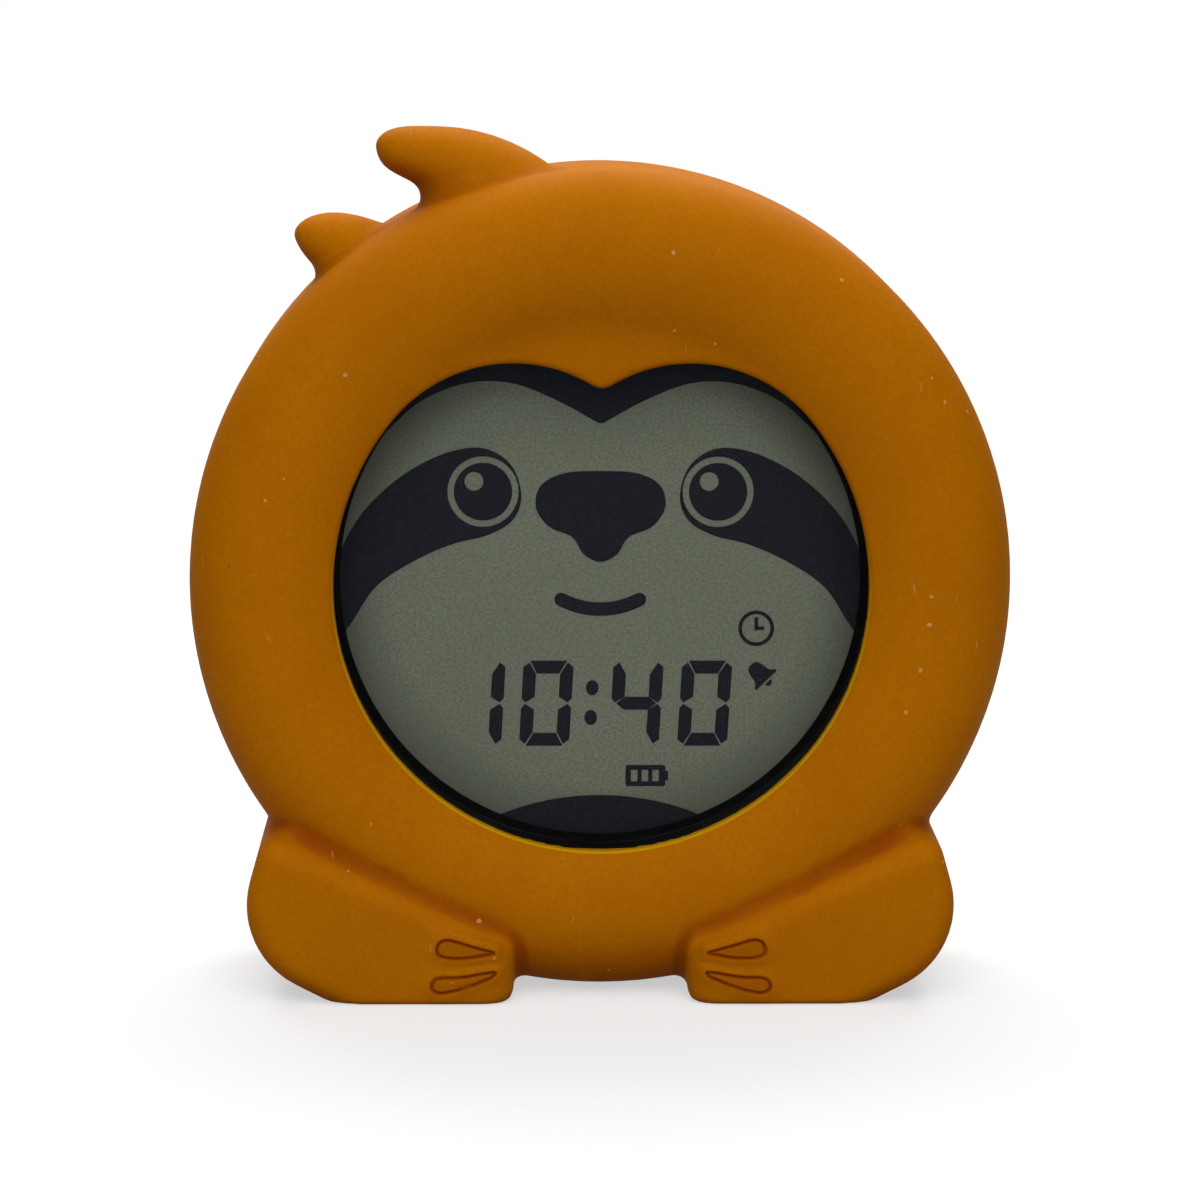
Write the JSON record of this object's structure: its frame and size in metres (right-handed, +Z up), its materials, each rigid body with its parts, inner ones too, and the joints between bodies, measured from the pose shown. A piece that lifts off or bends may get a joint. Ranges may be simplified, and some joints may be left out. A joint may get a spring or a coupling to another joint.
{
  "type": "kids alarm clock",
  "caption": "Round kids alarm clock with an LCD night light, in a soft animal-shaped silicone cover with paws and hair tufts; push buttons, alarm slider and battery door at the back.",
  "frame": {"origin": "on the surface the clock stands on, under the middle of its outline", "axes": "+Z up, the display looks along -Y, +X to the right as seen from the front"},
  "size_m": [0.118, 0.042, 0.1241],
  "materials": {
    "cover_silicone": "matt ochre silicone, very slightly mottled with fine dust",
    "housing_plastic": "fine moulded texture, warm light grey",
    "black_plastic": "matt black moulded plastic",
    "clear_lens": "clear, thin and flat, with a low reflection",
    "gasket_foam": "matt black foam",
    "lcd_glass": "grey-green liquid crystal display, satin",
    "white_plastic": "matt white",
    "clear_guide": "clear polished acrylic",
    "circuit_board": "green solder mask, satin",
    "lamp_resin": "yellowish lamp resin in a white case",
    "chip_resin": "matt black resin",
    "bright_metal": "drawn can, satin",
    "spring_metal": "nickel plated, bright",
    "screw_steel": "zinc plated",
    "speaker_paper": "black paper, matt",
    "cell_jacket": "plain dark jacket, glossy",
    "switch_knob": "ochre, satin",
    "button_plastic": "soft ochre rubbery plastic"
  },
  "bodies": {
    "clock": {"board_header": "black_plastic", "board_screws": "screw_steel", "capacitor": "bright_metal", "clock_chip": "chip_resin", "contact_plates": "spring_metal", "contact_springs": "spring_metal", "crystal_can": "bright_metal", "diffuser_sheet": "white_plastic", "display_bezel": "black_plastic", "display_gasket": "gasket_foam", "display_tray": "white_plastic", "front_housing": "housing_plastic", "housing_screws": "screw_steel", "key_board": "circuit_board", "key_board_screws": "screw_steel", "key_switches": "chip_resin", "lcd_glass": "lcd_glass", "light_guide": "clear_guide", "lower_cell": "cell_jacket", "main_board": "circuit_board", "middle_cell": "cell_jacket", "night_light_lamps": "lamp_resin", "rear_housing": "housing_plastic", "reflector_sheet": "white_plastic", "silicone_cover": "cover_silicone", "speaker_cone": "speaker_paper", "speaker_contacts": "spring_metal", "speaker_frame": "black_plastic", "speaker_magnet": "bright_metal", "strip_connector": "gasket_foam", "switch_body": "black_plastic", "tray_screws": "screw_steel", "upper_cell": "cell_jacket", "window_lens": "clear_lens"},
    "time_key": {"time_button": "button_plastic", "time_plunger": "chip_resin"},
    "alarm_key": {"alarm_button": "button_plastic", "alarm_plunger": "chip_resin"},
    "mode_key": {"mode_button": "button_plastic", "mode_plunger": "chip_resin"},
    "minus_key": {"minus_button": "button_plastic", "minus_plunger": "chip_resin"},
    "light_key": {"light_button": "button_plastic", "light_plunger": "chip_resin"},
    "plus_key": {"plus_button": "button_plastic", "plus_plunger": "chip_resin"},
    "alarm_slider": {"alarm_switch": "switch_knob"},
    "door": {"battery_door": "housing_plastic", "door_screw": "screw_steel"}
  },
  "joints": [
    {"name": "time_press", "type": "slide", "parent": "clock", "child": "time_key", "axis": [0, -1, 0], "range_m": [0, 0.0007], "stiffness_N_per_m": 1200, "springref_m": -0.0004},
    {"name": "alarm_press", "type": "slide", "parent": "clock", "child": "alarm_key", "axis": [0, -1, 0], "range_m": [0, 0.0007], "stiffness_N_per_m": 1200, "springref_m": -0.0004},
    {"name": "mode_press", "type": "slide", "parent": "clock", "child": "mode_key", "axis": [0, -1, 0], "range_m": [0, 0.0007], "stiffness_N_per_m": 1200, "springref_m": -0.0004},
    {"name": "minus_press", "type": "slide", "parent": "clock", "child": "minus_key", "axis": [0, -1, 0], "range_m": [0, 0.0007], "stiffness_N_per_m": 1200, "springref_m": -0.0004},
    {"name": "light_press", "type": "slide", "parent": "clock", "child": "light_key", "axis": [0, -1, 0], "range_m": [0, 0.0007], "stiffness_N_per_m": 1200, "springref_m": -0.0004},
    {"name": "plus_press", "type": "slide", "parent": "clock", "child": "plus_key", "axis": [0, -1, 0], "range_m": [0, 0.0007], "stiffness_N_per_m": 1200, "springref_m": -0.0004},
    {"name": "alarm_on_off", "type": "slide", "parent": "clock", "child": "alarm_slider", "axis": [1, 0, 0], "range_m": [0, 0.004]},
    {"name": "battery_door_hinge", "type": "hinge", "parent": "clock", "child": "door", "pos_m": [0, 0.0196, 0.0203], "axis": [-1, 0, 0], "range_deg": [0, 75]}
  ]
}
